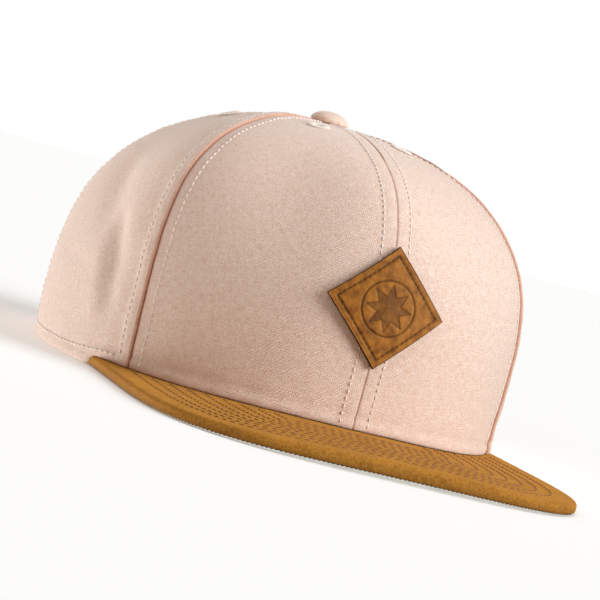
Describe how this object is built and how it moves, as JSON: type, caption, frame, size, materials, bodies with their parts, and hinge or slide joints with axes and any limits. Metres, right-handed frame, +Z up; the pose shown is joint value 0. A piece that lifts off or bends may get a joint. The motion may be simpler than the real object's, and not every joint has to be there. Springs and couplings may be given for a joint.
{
  "type": "snapback cap",
  "caption": "Panelled cap with a flat peak, sweatband, taped seams, rear arch with a plastic snap strap and a leather patch, at rest on its rim.",
  "frame": {"origin": "on the surface that the cap rests on, under the middle of its length and width", "axes": "+Z up from the rim to the button, -Y towards the front edge of the peak, +X towards the wearer's left"},
  "size_m": [0.1712, 0.2456, 0.1085],
  "materials": {
    "crown_cotton": "pale peach-pink woven cotton, matt, with double rows of topstitching",
    "peak_suede": "brown suede with a soft nap",
    "peak_twill": "light grey fine twill with concentric rows of stitching",
    "band_twill": "grey cotton twill, folded and stitched",
    "satin_tape": "blue satin seam tape with a soft sheen",
    "label_satin": "blue satin label stitched on",
    "snap_plastic": "smoky brown translucent snap plastic",
    "patch_leather": "brown leather with a debossed border and a dark edge"
  },
  "bodies": {
    "root": {"front_panel_left": "crown_cotton", "front_panel_right": "crown_cotton", "side_panel_left": "crown_cotton", "side_panel_right": "crown_cotton", "back_panel_left": "crown_cotton", "back_panel_right": "crown_cotton", "top_button": "crown_cotton", "peak_cover": "peak_suede", "peak_lining": "peak_twill", "sweatband": "band_twill", "seam_tape_front": "satin_tape", "seam_tape_side_left": "satin_tape", "seam_tape_side_right": "satin_tape", "seam_tape_rear_left": "satin_tape", "seam_tape_rear_right": "satin_tape", "seam_tape_back": "satin_tape", "arch_binding": "satin_tape", "sweatband_label": "label_satin", "strap_with_holes": "snap_plastic", "strap_with_pegs": "snap_plastic", "front_patch": "patch_leather"}
  },
  "joints": []
}
